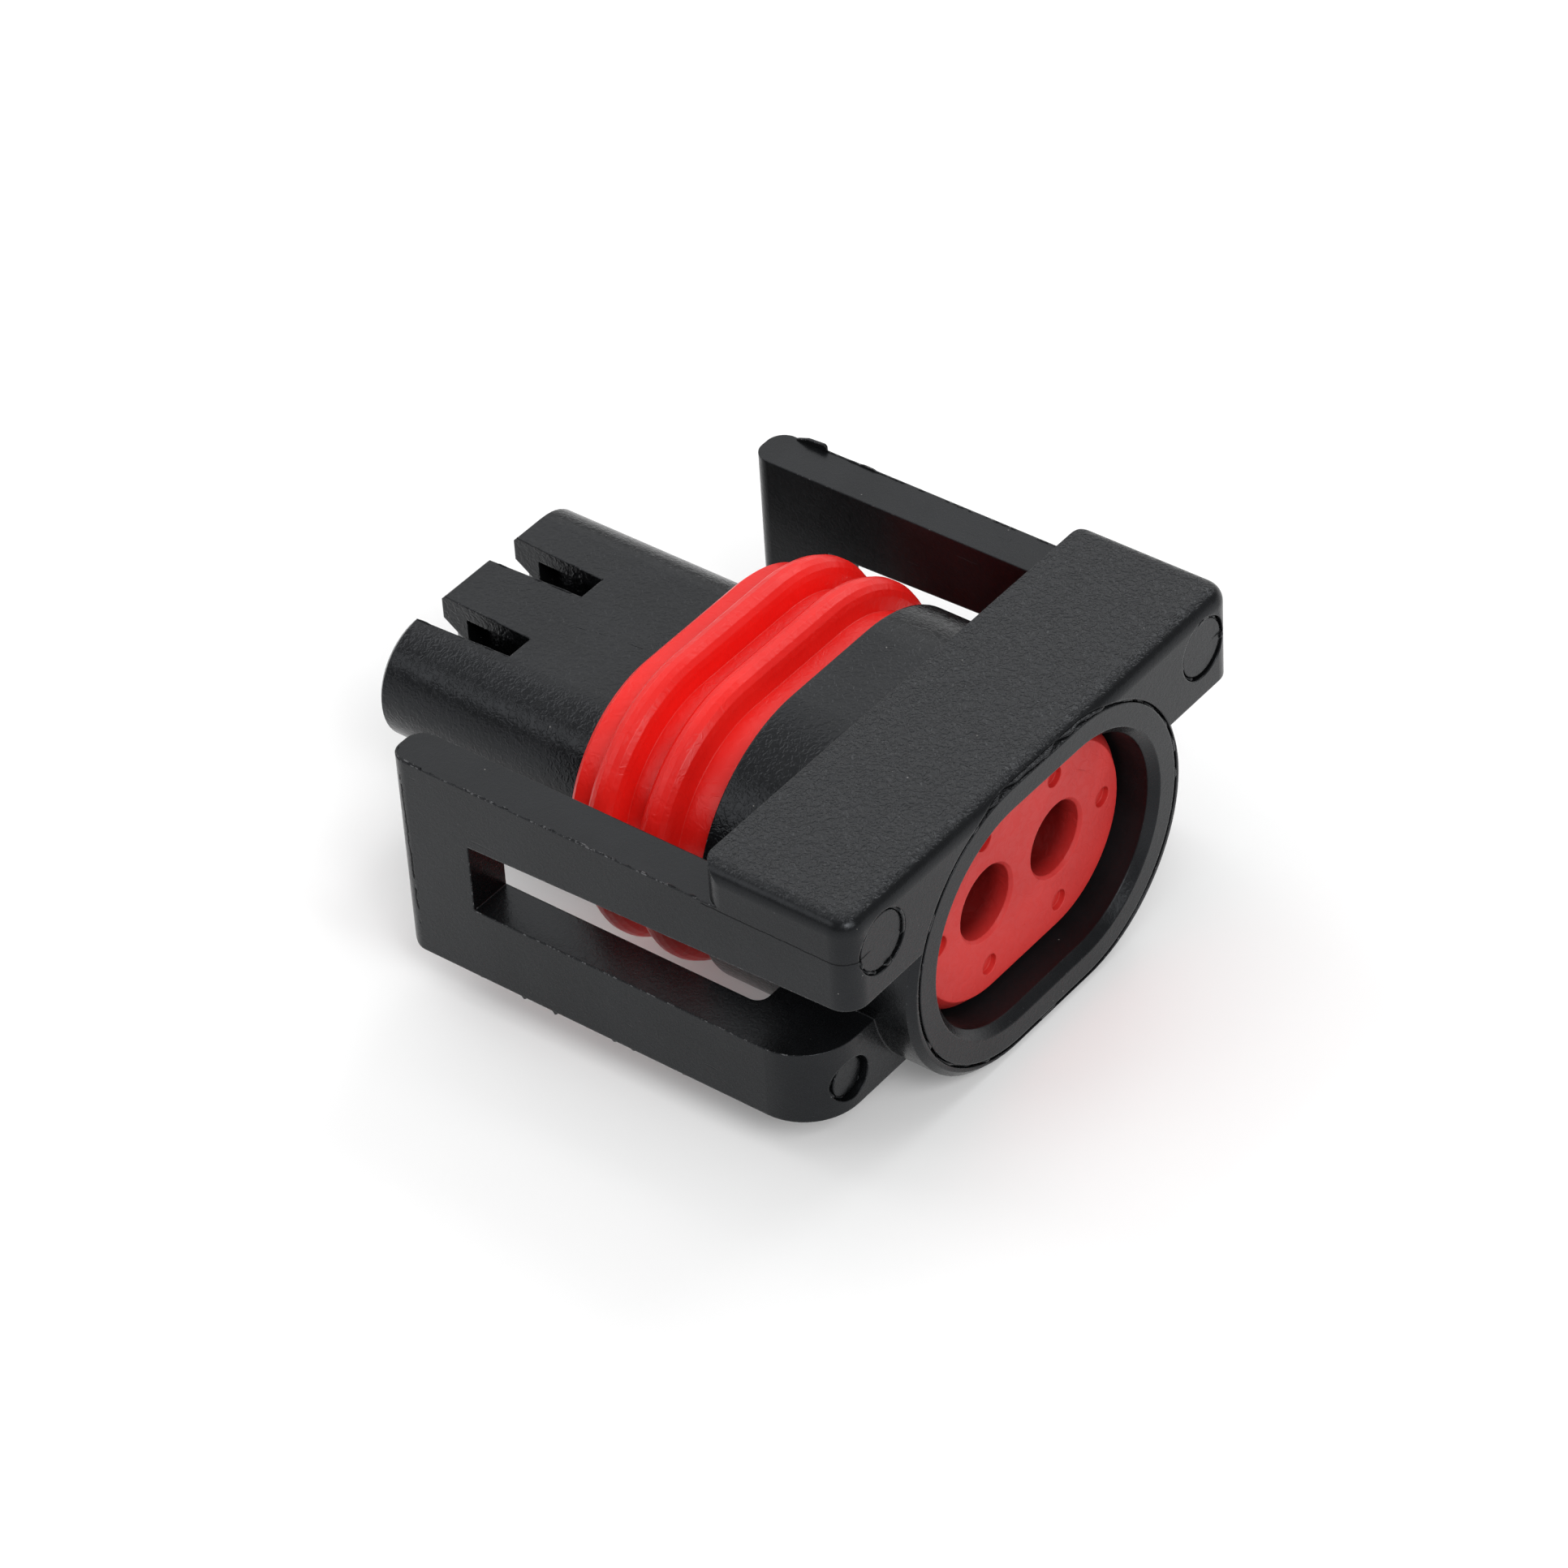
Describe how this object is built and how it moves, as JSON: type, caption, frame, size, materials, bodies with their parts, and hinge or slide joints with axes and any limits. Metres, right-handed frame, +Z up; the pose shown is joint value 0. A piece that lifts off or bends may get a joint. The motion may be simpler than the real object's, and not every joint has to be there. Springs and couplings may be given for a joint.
{
  "type": "sensor connector plug",
  "caption": "Black sealed sensor connector plug with latch windows in its side arms, a ribbed red ring seal and a red rear seal for its wires.",
  "frame": {"origin": "on the mating axis, in the plane of the rear face", "axes": "+Y along the mating axis, out through the nose; +Z up through the bar; +X across the plug"},
  "size_m": [0.028, 0.0326, 0.0149],
  "materials": {
    "housing": "satin",
    "interface_seal": "satin",
    "wire_seal": "satin"
  },
  "bodies": {
    "root": {"housing": "housing", "interface_seal": "interface_seal", "wire_seal": "wire_seal"}
  },
  "joints": []
}
